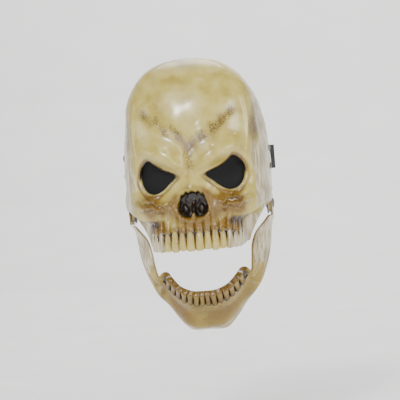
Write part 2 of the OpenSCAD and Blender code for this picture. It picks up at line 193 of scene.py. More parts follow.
def wander(*coordinates, seed=0, count=6):
    """A smooth uneven field of about unit size, made of a few fixed waves."""
    rng = np.random.default_rng(seed)
    total = 0.0
    for _ in range(count):
        wave = sum(c * k for c, k in zip(coordinates, rng.normal(0, 1, len(coordinates))))
        total = total + np.sin(wave + rng.uniform(0, 6.28))
    return total / math.sqrt(count)


face_low, face_high = (np.array(corner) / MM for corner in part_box("skull_face"))
crown_h = face_high[2] + 1.5
teeth_drop = -face_low[2]
half_w = (face_high[0] - face_low[0]) / 2 - 0.4
face_d = 91.0
wide_z = 0.28 * crown_h
wall = 2.0
eye_x, eye_h, eye_w, eye_t = 36.0, 36.0, 38.0, 35.0
nose_h, nose_w, nose_t, nose_d = 7.0, 31.0, 27.0, 11.0
tab_r = 12.0
tab_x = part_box("lower_jaw")[1][0] / MM
seat_x = tab_x - wall - 0.3
seat_r = tab_r + 2


def section_w(z):
    q = np.clip(z - wide_z, 0, None) / (crown_h - wide_z)
    return np.maximum(0.01, half_w * np.clip(1 - q ** 2.6, 0, None) ** (1 / 2.6))


def section_y(z):
    return -0.42 * face_d * smooth(0.36 * crown_h, crown_h, z)


def section_d(z):
    q = np.clip(z - wide_z, 0, None) / (1.09 * (crown_h - wide_z))
    return face_d * (1 - q ** 2.4) ** (1 / 2.4) + section_y(z)


def section_r(a, z):
    return ((np.sin(a) / section_w(z)) ** 2.3 + (np.abs(np.cos(a)) / section_d(z)) ** 2.3) ** (-1 / 2.3)


def degrees(low, high, a):
    return smooth(math.radians(low), math.radians(high), a)


def rim_z(a):
    return -7 + 11 * degrees(32, 66, a)


def hollow(a, z):
    return 0.265 * (degrees(20, 54, a) - degrees(60, 84, a)) * smooth(0, 5, rim_z(a) - z)


def through(p, q, r, s, t):
    """The smooth curve from q to r that comes from p and goes on to s, at t from 0 to 1."""
    square = (2 * p - 5 * q + 4 * r - s) * t ** 2
    return 0.5 * (2 * q + (r - p) * t + square + (3 * q - p - 3 * r + s) * t ** 3)


def eye_ratio(x, z):
    """Distance from an eye's middle as a share of the hole's own radius in that direction."""
    px, pz = x - eye_x, z - eye_h
    turn = np.arctan2(pz, px)
    return np.hypot(px, pz) / np.interp(turn, eye_turns, eye_radii, period=2 * math.pi)


eye_shape = np.array([
    (-0.53, 0.03), (-0.2, 0.2), (0.02, 0.36), (0.18, 0.5), (0.33, 0.42), (0.45, 0.2),
    (0.47, -0.02), (0.4, -0.25), (0.25, -0.42), (0.06, -0.47), (-0.15, -0.38), (-0.36, -0.18),
]) * (eye_w, eye_t)
eye_curve = []
for i in range(len(eye_shape)):
    near = [eye_shape[(i + k) % len(eye_shape)] for k in (-1, 0, 1, 2)]
    eye_curve += [through(*near, t) for t in np.arange(0, 1, 0.125)]
eye_curve = np.array(eye_curve)
eye_turns = np.arctan2(eye_curve[:, 1], eye_curve[:, 0])
eye_radii = np.hypot(eye_curve[:, 0], eye_curve[:, 1])
order = np.argsort(eye_turns)
eye_turns, eye_radii = eye_turns[order], eye_radii[order]

# The teeth stand side by side along the arch: their widths from the middle back.
upper_widths = (9.0, 7.5, 8.0, 7.5, 8.0, 9.5, 9.5, 9.0)


def tooth_place(along, widths):
    """Index of the tooth, place across it from -1 to 1, and its half width."""
    ends = np.concatenate([[0], np.cumsum(widths)])
    index = np.clip(np.searchsorted(ends, along, side="right") - 1, 0, len(widths) - 1)
    half = np.array(widths)[index] / 2
    return index, np.clip((along - ends[index] - half) / half, -1, 1), half


arch_turn = np.linspace(0, math.radians(75), 400)
arch_r = section_r(arch_turn, np.full(400, -31.0)) * (1 - hollow(arch_turn, np.full(400, -31.0)))
arch_x, arch_y = arch_r * np.sin(arch_turn), -arch_r * np.cos(arch_turn)
arch_length = np.concatenate([[0], np.cumsum(np.hypot(np.diff(arch_x), np.diff(arch_y)))])


def upper_arch(a):
    return np.interp(a, arch_turn, arch_length)


def in_upper_row(a):
    """1 over the row of upper teeth, 0 behind the last one."""
    return smooth(sum(upper_widths), sum(upper_widths) - 1.2, upper_arch(a))


def edge_z(a):
    index, across, _ = tooth_place(upper_arch(a), upper_widths)
    toothed = in_upper_row(a)
    uneven = np.array([0, 0.9, -0.3, 0.7, 0.2, 0.6, 0.2, 0.6])[index]
    return (
        -teeth_drop + 4 * degrees(25, 56, a) + (teeth_drop - 1) * degrees(56, 80, a)
        - 12 * degrees(80, 86, a) + 4 * degrees(91, 98, a)
        + toothed * (1.8 * np.minimum(np.abs(across), 1) ** 4 + uneven)
    )


def rear_angle(z):
    back = 90 + 8 * smooth(crown_h, 10, z) - 4 * smooth(20, 46, z) * smooth(90, 60, z)
    return np.radians(back)


def upper_gum(across, index, z):
    """The gum's height over a tooth, the share of the crown, and the place across its tapering width."""
    uneven = np.array([0.4, 0.2, 1.8, 0.0, 0.9, -0.8, -0.4, -1.0])[index]
    gum_line = -20.5 - 3.6 * np.minimum(across ** 2, 1.2) + uneven
    rise = np.clip((z + teeth_drop) / (gum_line + teeth_drop), 0, 1)
    return gum_line, rise, np.abs(across) * (0.93 + 0.17 * rise ** 1.5)


def base_relief(x, z):
    brow = 5 * ridge(z - eye_h - 10 - 0.52 * (x - 14), 8) * smooth(2, 12, x) * smooth(62, 48, x)
    socket = -13 * dome(x, z, eye_x + 2, eye_h - 1, 0.84 * eye_w, 0.84 * eye_t)
    cheek = 5 * dome(x, z, 50, 7, 26, 17) - 5 * dome(x, z, 30, -7, 17, 13)
    gum = 2.5 * ridge(z + teeth_drop - 9, 9) * smooth(52, 40, x)
    return brow + socket + cheek + gum


def nose_pit(x, z):
    """0 outside the nose cavity, 1 inside it: wider at the foot, with a notch below the septum."""
    half = 12.5 + 3.4 * smooth(nose_h + 12, nose_h - 4, z) - 1.5 * smooth(nose_h - 6, nose_h - 13, z)
    out = (np.abs(x / half) ** 3.6 + np.abs((z - nose_h) / (0.5 * nose_t)) ** 3.6) ** (1 / 3.6)
    scallop = 0.05 * np.sin(x * 1.15 + 0.8) * smooth(nose_h, nose_h + 8, z)
    notch = 0.55 * ridge(x, 1.7) * smooth(nose_h - 4, nose_h - 12, z)
    return smooth(-0.04, 0.16, 1 - out + scallop - notch)


def loose_skin(x, z, side):
    """Branching wrinkles under the eyes: 1 on a line and 0 away from it."""
    return ridge(wander(side * x * 0.17, z * 0.3, seed=22), 0.28) * np.sqrt(dome(x, z, 44, 8, 26, 17))


def fold_wave(x, side):
    return 1.4 * np.sin(x * 0.35 + side) + 0.9 * np.sin(x * 0.83 + 2.3 * side + 1)


def fine_relief(x, z, a, side):
    """Sculpted detail over the base form, in millimetres."""
    along = upper_arch(a)
    index, across, _ = tooth_place(along, upper_widths)
    toothed = in_upper_row(a)
    gum_line, _, wedge = upper_gum(across, index, z)
    below = smooth(1.0, -1.0, z - gum_line)
    crowns = below * (1.9 * (1 - np.minimum(wedge, 1) ** 3) - 1.4 * smooth(0.84, 1.02, wedge))
    lip = 1.1 * ridge(z - gum_line - 1.8, 1.4) - 0.7 * ridge(z - gum_line + 0.2, 0.8)
    root_top = np.array([8, 9, 12, 9, 9, 7, 7, 7])[index]
    root = 2.2 * (1 - across ** 2) - 1.2 * ridge(1 - np.abs(across), 0.35)
    root = root + 0.4 * wander(across * 3, z * 0.5, index * 2.0 + side, seed=2)
    mouth = toothed * (crowns + (1 - below) * root * ridge(z - gum_line - root_top, root_top * 0.85) + lip)
    eye = eye_ratio(x, z)
    lids = 1.3 * ridge(eye - 1.16, 0.1) * smooth(eye_h + 16, eye_h - 2, z) + 1.0 * ridge(eye - 1.1, 0.07)
    folds = sum(
        depth * ridge(z - line - slope * (x - 44) - fold_wave(x, side), thick)
        * smooth(start, start + 6, x) * smooth(end, end - 8, x)
        for depth, line, slope, thick, start, end in (
            (1.9, 13.0, 0.3, 1.9, 24, 64), (-1.8, 9.4, 0.26, 1.3, 26, 62),
            (1.7, 5.6, 0.2, 1.8, 28, 60), (-1.3, 2.2, 0.15, 1.3, 32, 58),
        )
    )
    frown = -1.0 * ridge(x - 6.5 - 0.05 * (z - 40), 2.4) * smooth(36, 44, z) * smooth(66, 54, z)
    frown = frown + 1.4 * ridge(x, 5) * smooth(34, 44, z) * smooth(70, 54, z) - 1.1 * loose_skin(x, z, side)
    bridge = 2.2 * ridge(x, 5.5) * smooth(12, 20, z) * smooth(44, 34, z)
    nose_rim = 1.5 * ridge(np.hypot(x / (0.62 * nose_w), (z - nose_h) / (0.62 * nose_t)) - 1, 0.14)
    pit = nose_pit(x, z)
    septum = 4.5 * ridge(x - 0.4 * side, 1.5) * smooth(nose_h + 6, nose_h - 5, z)
    curl_x, curl_z = 0.27 * nose_w, nose_h - 5
    shell_curl = 3.2 * dome(x, z, curl_x, curl_z, 5, 7)
    shell_curl = shell_curl - 1.5 * ridge(np.hypot((x - curl_x) / 5, (z - curl_z) / 7) - 1, 0.3)
    cavity = pit * (septum + shell_curl - 1.2 + 0.5 * np.sin(x * 1.3 + side) * np.sin(z * 0.7))
    temple_line = 2.4 * ridge(x - 61 + 0.0042 * (z - 85) ** 2, 2.6) * smooth(40, 54, z) * smooth(132, 112, z)
    temple_line = temple_line - 2.5 * dome(x, z, 68, 84, 8, 36)
    pits = -1.1 * sum(dome(x, z, px, pz, pr, pr) for px, pz, pr in (
        (66, 66, 3.0), (70, 58, 2.2), (63, 92, 2.4), (57, 24, 2.0),
        (68, 18, 2.4), (24, 64, 2.2), (47, 74, 1.8),
    ))
    lumps = 0.4 * wander(side * x * 0.07, z * 0.06, seed=3)
    lumps = lumps + 0.2 * wander(side * x * 0.3, z * 0.3, seed=4) * smooth(60, 20, z)
    brow_bulge = 6 * dome(x, z, 27, 60 + 0.4 * (x - 27), 27, 20)
    brow_bulge = brow_bulge - 1.3 * ridge(z - 74 - 0.6 * x, 8) * smooth(64, 40, x)
    cheekbone = 2.4 * ridge(z - 6 - 0.35 * (x - 50), 4.5) * smooth(44, 54, x) * smooth(74, 66, x)
    fold_in = 1.5 * ridge(x - 20 - 0.25 * (z + 5), 3.5) * smooth(14, 4, z) * smooth(-20, -8, z)
    face = brow_bulge + cheekbone + fold_in + mouth + lids + folds + frown + bridge
    return face + nose_rim * (1 - pit) + cavity + temple_line + pits + lumps


def seated(x, y, z):
    hold = smooth(seat_r + 5, seat_r + 1, np.hypot(y, z))
    return x + (np.minimum(x, seat_x) - x) * hold


def face_surface(turn, z, detail):
    """Points of the shell's outer skin at an angle round the head and a height, in millimetres."""
    a = np.abs(turn)
    side = np.sign(turn)
    r = section_r(a, z) * (1 - hollow(a, z))
    x = r * np.sin(a)
    y = section_y(z) - r * np.cos(a)
    out = -4 * dome(y, z, -32, 82, 30, 30) + 1.5 * dome(y, z, -34, 14, 40, 14)
    relief = base_relief(x, z) - nose_d * nose_pit(x, z)
    if detail:
        relief = relief + fine_relief(x, z, a, side) * degrees(84, 66, a)
        clear_of_seat = smooth(seat_r + 2, seat_r + 8, np.hypot(y, z))
        out = out + 0.5 * wander(y * 0.12, z * 0.1 + side, seed=5) * degrees(60, 74, a) * clear_of_seat
    # On the narrow sides of the upper jaw the relief pushes sideways instead of forward.
    sideways = degrees(28, 52, a) * smooth(0, -12, z)
    across = relief * degrees(84, 62, a)
    x2 = seated(x + out * degrees(50, 75, a) + across * sideways * np.sin(a), y, z)
    y2 = y - across * (1 - sideways + sideways * np.cos(a)) * degrees(80, 55, a)
    return np.stack([side * x2, y2, z], axis=-1)


def inner_surface(turn, z, depth):
    """The cast side: the plain form, set in by the wall along its own normal."""
    e = 0.01
    across = face_surface(turn + e, z, False) - face_surface(turn - e, z, False)
    up = face_surface(turn, z + 0.6, False) - face_surface(turn, z - 0.6, False)
    inward = np.cross(up, across)
    inward /= np.linalg.norm(inward, axis=-1, keepdims=True) + 1e-9
    plain = face_surface(turn, z, False)
    extra = 0.6 * smooth(seat_r + 9, seat_r + 2, np.hypot(plain[..., 1], z))
    extra = extra + 2.5 * nose_pit(np.abs(plain[..., 0]), z)
    return plain + inward * (depth + extra)[..., None]


def row_height(turn, t):
    """Rows are close over the teeth and the ledge, wide on the forehead, and crowd in at the crown."""
    a = np.abs(turn)
    low = edge_z(a)
    foot = np.maximum(low + 0.6, rim_z(a) - 5)
    rim = np.maximum(low + 1.6, rim_z(a))
    q = (t - 0.32) / 0.68
    share = 0.78 * q + 0.22 * q ** 2
    crowded = 0.765 + 0.235 * (1 - np.clip((1 - q) / 0.2, 0, 1) ** 2.2)
    above = rim + (crown_h - 0.03 - rim) * np.where(q < 0.8, share, crowded)
    ledge = foot + (rim - foot) * (t - 0.27) / 0.05
    return np.where(t < 0.27, low + (foot - low) * t / 0.27, np.where(t < 0.32, ledge, above))


def put(verts, points):
    for vert, point in zip(verts, points):
        vert.co = point * MM


shell = bmesh.new()
bmesh.ops.create_grid(shell, x_segments=236, y_segments=188, size=1)
turn_layer = shell.verts.layers.float.new("turn")
height_layer = shell.verts.layers.float.new("height")
spots = np.array([vert.co for vert in shell.verts])
share = spots[:, 0] * (0.6 + 0.4 * spots[:, 0] ** 2)
rows = (spots[:, 1] + 1) / 2
heights = row_height(share * rear_angle(0 * share), rows)
turns = share * rear_angle(heights)
for vert, turn, height in zip(shell.verts, turns, heights):
    vert[turn_layer] = turn
    vert[height_layer] = height

# The eye holes are cut out of the skin, and their edges brought onto the drawn curve.
skin = face_surface(turns, heights, False)
ratio = eye_ratio(np.abs(skin[:, 0]), skin[:, 2])
shell.verts.ensure_lookup_table()
shell.verts.index_update()
inside = [f for f in shell.faces if sum(ratio[v.index] for v in f.verts) / 4 < 1.0]
border = set(v for e in shell.edges if e.is_boundary for v in e.verts)
bmesh.ops.delete(shell, geom=inside, context="FACES")
for vert in shell.verts:
    if vert.is_boundary and vert not in border:
        turn, height = vert[turn_layer], vert[height_layer]
        point = face_surface(np.array([turn]), np.array([height]), False)[0]
        x, z = abs(point[0]), point[2]
        q = float(eye_ratio(x, z))
        x, z = eye_x + (x - eye_x) / q, eye_h + (z - eye_h) / q
        w, d = float(section_w(z)), float(section_d(z))
        y = -d * (1 - (x / w) ** 2.3) ** (1 / 2.3)
        vert[turn_layer] = math.copysign(math.atan2(x, -y), turn)
        vert[height_layer] = z

cast = bmesh.ops.duplicate(shell, geom=shell.verts[:] + shell.edges[:] + shell.faces[:])["geom"]
cast_verts = [g for g in cast if isinstance(g, bmesh.types.BMVert)]
cast_faces = [g for g in cast if isinstance(g, bmesh.types.BMFace)]
cast_set = set(cast_verts)
skin_verts = [v for v in shell.verts if v not in cast_set]
for verts, surface in (
    (skin_verts, lambda t, h: face_surface(t, h, True)),
    (cast_verts, lambda t, h: inner_surface(t, h, wall)),
):
    put(verts, surface(np.array([v[turn_layer] for v in verts]), np.array([v[height_layer] for v in verts])))
bmesh.ops.reverse_faces(shell, faces=cast_faces)
for face in cast_faces:
    face.material_index = 1


def edge_loops(edges):
    """Splits boundary edges into their separate loops."""
    left = set(edges)
    while left:
        loop, stack = [], [left.pop()]
        while stack:
            edge = stack.pop()
            loop.append(edge)
            for vert in edge.verts:
                for other in vert.link_edges:
                    if other in left:
                        left.remove(other)
                        stack.append(other)
        yield loop


def close_wall(bm, inner_verts):
    """Joins each open loop of the outer skin to its twin on the cast side."""
    loops = list(edge_loops([e for e in bm.edges if e.is_boundary]))


    def middle(loop):
        return sum((v.co for e in loop for v in e.verts), Vector()) / (2 * len(loop))

    outer = [loop for loop in loops if loop[0].verts[0] not in inner_verts]
    inner = [loop for loop in loops if loop[0].verts[0] in inner_verts]
    for loop in outer:
        def unlike(other):
            return abs(len(other) - len(loop)), (middle(other) - middle(loop)).length

        twin = min(inner, key=unlike)
        inner.remove(twin)
        bmesh.ops.bridge_loops(bm, edges=loop + twin)


def punch_hinge(bm, radius):
    """Cuts the hinge holes through both skins and rounds their edges."""
    border = set(v for v in bm.verts if v.is_boundary)

    def off_axis(place):
        return math.hypot(place.y, place.z) / MM if abs(place.x) > 60 * MM else 99

    within = [f for f in bm.faces if off_axis(f.calc_center_median()) < radius]
    bmesh.ops.delete(bm, geom=within, context="FACES")
    for vert in bm.verts:
        if vert.is_boundary and vert not in border:
            grow = radius / max(off_axis(vert.co), 0.1)
            vert.co = (vert.co.x, vert.co.y * grow, vert.co.z * grow)


hinge_hole_r = 2.6
punch_hinge(shell, hinge_hole_r)
close_wall(shell, cast_set)
bmesh.ops.recalc_face_normals(shell, faces=shell.faces[:])


# Painted latex: an olive cream ground, brown stain rubbed into the hollows, ivory sides, clear varnish, and
# near-black painted shade in crevices.
# The paint attribute holds how much stain, ivory, dark (dark paint and painted shade) and speckle lies on
# each point.
def noise(tree, place, scale, detail=4.0, roughness=0.5):
    sockets = {"Scale": scale, "Detail": detail, "Roughness": roughness}
    return add(tree, "ShaderNodeTexNoise", {"Vector": place}, sockets).outputs["Fac"]


def bump(tree, height, strength, distance, over=None):
    """Raises a surface by a height, over another bump if there is one; distance in metres."""
    links = {"Height": height} if over is None else {"Height": height, "Normal": over}
    return add(tree, "ShaderNodeBump", links, {"Strength": strength, "Distance": distance}).outputs[0]


def painted_latex(name, ground, deep_ground, bright_ground, streak_tone):
    made, tree, shader = material(name)
    paint = add(tree, "ShaderNodeAttribute", attribute_name="paint")
    parts = add(tree, "ShaderNodeSeparateColor", {"Color": paint.outputs["Color"]})
    place = add(tree, "ShaderNodeTexCoord").outputs["Object"]
    # Cloudy brushwork about 18 mm across, and streaks dragged downward about 4 mm apart.
    cloud = noise(tree, place, 1 / 0.018, 5.0, 0.6)
    drawn = add(tree, "ShaderNodeMapping", {"Vector": place}, {"Scale": (1.0, 1.0, 0.16)})
    streak = noise(tree, drawn.outputs[0], 1 / 0.004, 4.0, 0.65)
    speck = noise(tree, place, 1 / 0.0014, 4.0, 0.75)

    def blend(factor, first, second):
        mix = add(tree, "ShaderNodeMix", data_type="RGBA")
        tree.links.new(factor, mix.inputs[0])
        tree.links.new(first, mix.inputs[6])
        if isinstance(second, str):
            mix.inputs[7].default_value = tone(second)
        else:
            tree.links.new(second, mix.inputs[7])
        return mix.outputs[2]

    def spread(amount, field, low, high):
        """Amount broken up by an uneven field: 0 under low and 1 over high."""
        total = add(tree, "ShaderNodeMath", {0: amount, 1: field}, operation="ADD").outputs[0]
        ends = {"From Min": low, "From Max": high}
        span = add(tree, "ShaderNodeMapRange", {"Value": total}, ends, interpolation_type="SMOOTHSTEP")
        return span.outputs[0]

    base = ramp(tree, cloud, [(0.3, deep_ground), (0.5, ground), (0.72, bright_ground)])
    ivory_stops = [(0.34, streak_tone), (0.44, "#a3946f"), (0.52, "#c2b48f"), (0.62, "#dad0b3")]
    ivory = ramp(tree, streak, ivory_stops)
    colour = blend(spread(parts.outputs["Green"], cloud, 0.75, 1.2), base, ivory)
    stain = ramp(tree, speck, [(0.35, "#543b0a"), (0.5, "#765611"), (0.68, "#957625")])
    colour = blend(spread(parts.outputs["Red"], cloud, 0.62, 1.45), colour, stain)
    speckled = add(tree, "ShaderNodeMath", {0: paint.outputs["Alpha"]}, {1: 0.42}, operation="MULTIPLY")
    colour = blend(spread(speckled.outputs[0], speck, 0.8, 0.98), colour, "#61481a")
    # Near black over the blue share: dark paint in the nose cavity, and painted shade in crevices, creases
    # and under rims.
    colour = blend(spread(parts.outputs["Blue"], speck, 0.72, 1.25), colour, "#24170d")
    tree.links.new(colour, shader.inputs["Base Color"])
    rough = add(tree, "ShaderNodeMapRange", {"Value": cloud}, {"To Min": 0.24, "To Max": 0.4})
    tree.links.new(rough.outputs[0], shader.inputs["Roughness"])
    shader.inputs["IOR"].default_value = 1.5
    shader.inputs["Coat Weight"].default_value = 0.5
    shader.inputs["Coat Roughness"].default_value = 0.17
    # Brush marks and the soft orange-peel of varnish on rubber.
    marks = bump(tree, streak, 0.25, 0.0006)
    tree.links.new(bump(tree, speck, 0.4, 0.0006, over=marks), shader.inputs["Normal"])
    return made


def coat(tree, shader, colour, height, strength, distance, roughness):
    """Joins a colour and a bump to a plain matt or satin surface."""
    tree.links.new(colour, shader.inputs["Base Color"])
    tree.links.new(bump(tree, height, strength, distance), shader.inputs["Normal"])
    shader.inputs["Roughness"].default_value = roughness


# The cast side is bare latex, a dull cream that has yellowed a little, with soft drips from the pour.
def bare_latex():
    made, tree, shader = material("bare_cast_latex")
    place = add(tree, "ShaderNodeTexCoord").outputs["Object"]
    drips = noise(tree, place, 1 / 0.014)
    cream = ramp(tree, drips, [(0.35, "#8f7f5d"), (0.6, "#b5a681")])
    coat(tree, shader, cream, drips, 0.3, 0.001, roughness=0.62)
    return made


def set_paint(piece, stain, ivory, dark, speckle):
    layer = piece.data.attributes.new("paint", "FLOAT_COLOR", "POINT")
    layer.data.foreach_set("color", np.clip(np.stack([stain, ivory, dark, speckle], axis=-1), 0, 1).ravel())


skull_latex = painted_latex("varnished_latex_skull", "#bbaa55", "#a6903c", "#cdbf76", "#a08f70")
cast_latex = bare_latex()
skull = mesh_object("skull_face_latex", shell, skull_latex, cast_latex)
points = np.empty(len(skull.data.vertices) * 3)
skull.data.vertices.foreach_get("co", points)
px, py, pz = (points.reshape(-1, 3) / MM).T
left_right, px = np.sign(px), np.abs(px)
pa = np.arctan2(px, -(py - section_y(pz)))
index, across, _ = tooth_place(upper_arch(pa), upper_widths)
gum_line, rise, wedge = upper_gum(across, index, pz)
eye, pit = eye_ratio(px, pz), nose_pit(px, pz)
toothed = in_upper_row(pa)
crown = toothed * smooth(0.8, -0.8, pz - gum_line)
gum = toothed * smooth(-12, -18, pz) * (1 - crown)
broken = smooth(0.1, 0.7, np.abs(across) + 0.2 * wander(px * 0.3, seed=12))
# Painted shade, near black, in the gaps between the upper teeth, along the gum line and between the roots.
gap_shade = crown * smooth(0.9, 1.04, wedge) * (0.3 + 0.6 * rise) * smooth(62, 30, px)
gap_shade = gap_shade + toothed * ridge(pz - gum_line + 0.2, 0.9) * broken
gap_shade = gap_shade + 0.7 * gum * ridge(1 - np.abs(across), 0.3) * smooth(-14, -20, pz) * smooth(44, 26, px)
# Painted shade, dark, in the valleys of the folds and wrinkles under the eyes.
crease_shade = 0.45 * smooth(26, 32, px) * smooth(64, 54, px) * np.maximum.reduce([
    ridge(pz - 9.4 - 0.26 * (px - 44) - fold_wave(px, left_right), 1.3),
    ridge(pz - 2.2 - 0.15 * (px - 44) - fold_wave(px, left_right), 1.3),
    1.1 * loose_skin(px, pz, left_right),
])
# The band under the cheekbone's rim: the near-black there is painted shade under the overhang; the brown
# stain and speckle on it are partly paint and partly painted shade.
under_rim = rim_z(pa) - pz
cheek_hollow_shade = smooth(-1, 3, under_rim) * smooth(17, 4, under_rim) * smooth(26, 38, px) * smooth(66, 56, px)
mottle = wander(left_right * px * 0.09, pz * 0.08, seed=9)
mottle = mottle + 0.6 * wander(left_right * px * 0.3, pz * 0.28, seed=10)
vee_line = 67 + 0.72 * px + 2.5 * wander(left_right * px * 0.12, 0 * px, seed=14)
vee = ridge(pz - vee_line, 12.5) * smooth(64, 44, px)
vee = vee * np.clip(0.95 + 0.25 * wander(left_right * px * 0.24, pz * 0.24, seed=15), 0.5, 1.2)
orbit, lower = ridge(eye - 1.08, 0.15), smooth(eye_h + 4, eye_h - 6, pz)
stain = (
    0.5 * vee + 0.45 * ridge(px, 7) * smooth(30, 40, pz) * smooth(80, 60, pz)
    + 0.95 * orbit * (1 - lower) + 0.85 * ridge(eye - 1.24, 0.13) * lower
    + 0.75 * smooth(24, 2, pz) * smooth(64, 36, px) * (1 - crown) + 0.3 * gum
    + crown * (0.16 + 0.5 * rise + 0.5 * ridge(wedge - 0.95, 0.25)) * smooth(56, 20, px)
    + 0.8 * ridge(np.hypot(px / (0.62 * nose_w), (pz - nose_h) / (0.62 * nose_t)) - 1, 0.3)
    + 0.75 * np.sqrt(dome(px, pz, 45, 8, 24, 18)) * (0.8 + 0.3 * mottle) + 0.8 * cheek_hollow_shade
    + 0.75 * dome(px, pz, 66, 84, 10, 38)
    + 0.5 * smooth(128, 154, pz) + 0.16 * mottle - 0.1
)
silver = wander(left_right * px * 0.25, pz * 0.07, seed=8)
ivory = np.maximum.reduce([
    smooth(60, 67, px + 2 * silver) * smooth(-34, 4, pz) * (1 - 0.8 * dome(px, pz, 66, 84, 10, 38)),
    smooth(-2, -12, pz) * smooth(22, 40, px + 4 * silver) * (1 - cheek_hollow_shade),
    0.8 * ridge(eye - 1.07, 0.05) * lower,
    0.5 * gum * (1 - np.abs(across)) * smooth(8, 24, px),
    0.4 * crown * ridge(wedge - 0.2, 0.4) * (1 - rise),
])
# The dark share: dark paint in the nose cavity, and painted shade between the teeth, under the cheekbone,
# along the eye's upper rim under the brow, in the eye's inner corners and in the creases.
dark = np.maximum.reduce([
    1.1 * pit, 0.65 * cheek_hollow_shade * smooth(28, 40, px), gap_shade, 0.95 * ridge(eye - 1.0, 0.05) * (1 - lower),
    0.6 * ridge(eye - 1.04, 0.09) * smooth(34, 18, px), 0.45 * ridge(eye - 1.17, 0.04) * lower, crease_shade,
])
speckle = np.maximum.reduce([
    0.95 * dome(px, pz, 65, 84, 13, 40), 0.7 * dome(px, pz, 48, 10, 22, 14), 0.9 * vee, 0.6 * cheek_hollow_shade,
    0.8 * ridge(px, 10) * smooth(34, 46, pz) * smooth(84, 60, pz),
    0.5 * smooth(10, -10, pz) * smooth(40, 20, px),
]) + 0.08
set_paint(skull, stain, ivory, dark, speckle)
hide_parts("skull_face")
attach(skull, "mask")

# ---- Lower jaw: the chin, the lower teeth and the two branches that ride up to the temples.
# Cast in the same latex; it turns on the rivets and hangs wide open here.
jaw_open = math.radians(39)
chin_z, bite_z = -teeth_drop - 55, -teeth_drop - 2
jaw_d, jaw_w = face_d - 2, half_w - 2
# Each station holds the lower or rear edge, the upper or front edge and the outward swell.
stations = np.array([
    (0, 4.5 - jaw_d, chin_z, 0, -jaw_d, bite_z, 7),
    (18, 5.5 - jaw_d, chin_z, 14, 1.5 - jaw_d, bite_z, 7),
    (0.4 * jaw_w, 15 - jaw_d, chin_z + 6, 0.37 * jaw_w, 9 - jaw_d, bite_z + 1, 5),
    (0.53 * jaw_w, 25 - jaw_d, chin_z + 15, 0.5 * jaw_w, 21 - jaw_d, bite_z + 3.5, 5),
    (0.64 * jaw_w, 33 - jaw_d, chin_z + 21, 0.575 * jaw_w, 30 - jaw_d, bite_z + 4.5, 6),
    (0.73 * jaw_w, 40 - jaw_d, chin_z + 27, 0.665 * jaw_w, 31 - jaw_d, bite_z - 0.5, 4),
    (0.82 * jaw_w, 48 - jaw_d, chin_z + 34, 0.697 * jaw_w, 33 - jaw_d, bite_z + 14, 3),
    (0.89 * jaw_w, 57 - jaw_d, chin_z + 44, 0.72 * jaw_w, 39 - jaw_d, bite_z + 29, 2),
    (0.94 * jaw_w, 68 - jaw_d, -40, 0.78 * jaw_w, 52 - jaw_d, -7, 1),
    (tab_x - 3, -8, -26, tab_x - 8, -1.95 * tab_r, -4.5, 0.5),
    (tab_x, 0.1 * tab_r, -1.35 * tab_r, tab_x, -1.15 * tab_r, 0.1 * tab_r, 0),
    (tab_x, 0.85 * tab_r, -0.55 * tab_r, tab_x, -0.85 * tab_r, 0.6 * tab_r, 0),
    (tab_x, 0.95 * tab_r, 0.3 * tab_r, tab_x, -0.3 * tab_r, 0.95 * tab_r, 0),
    (tab_x, 0.7 * tab_r, 0.68 * tab_r, tab_x, 0.15 * tab_r, 0.96 * tab_r, 0),
])
last_station = len(stations) - 1
# Past this station the branch is the flat tab that lies on the rivet's seat.
tab_u = 9.6
lower_widths = (5.5, 6.5, 7.0, 7.5, 7.5, 9.0, 9.0)


def along_jaw(u):
    """A smooth curve through the stations, mirrored at the chin."""
    b = np.abs(u)
    k = np.minimum(last_station - 1, np.floor(b)).astype(int)
    t = (b - k)[:, None]
    near = []
    for step in (-1, 0, 1, 2):
        mirrored = np.where((k + step < 0)[:, None], (-1, 1, 1, -1, 1, 1, 1), 1)
        near.append(stations[np.minimum(last_station, np.abs(k + step))] * mirrored)
    return through(*near, t)


tip_u = np.linspace(0, 6, 300)
tip_line = along_jaw(tip_u)[:, 3:6]
tip_length = np.concatenate([[0], np.cumsum(np.linalg.norm(np.diff(tip_line, axis=0), axis=1))])


def lower_tooth(u, v):
    """Place on the row of teeth: across from -1 to 1, depth below the tips, and the gum's depth."""
    rows = along_jaw(u)
    drop = (1 - v) * np.linalg.norm(rows[:, 3:6] - rows[:, :3], axis=1)
    index, across, _ = tooth_place(np.interp(np.abs(u), tip_u, tip_length), lower_widths)
    gum = 14.5 - 0.9 * np.abs(u) - 2.2 * across ** 2 + np.array([0, 0.8, -0.4, 0.5, 0, 0.4, 0])[index]
    return across, drop, gum, smooth(4.4, 4.1, np.abs(u))


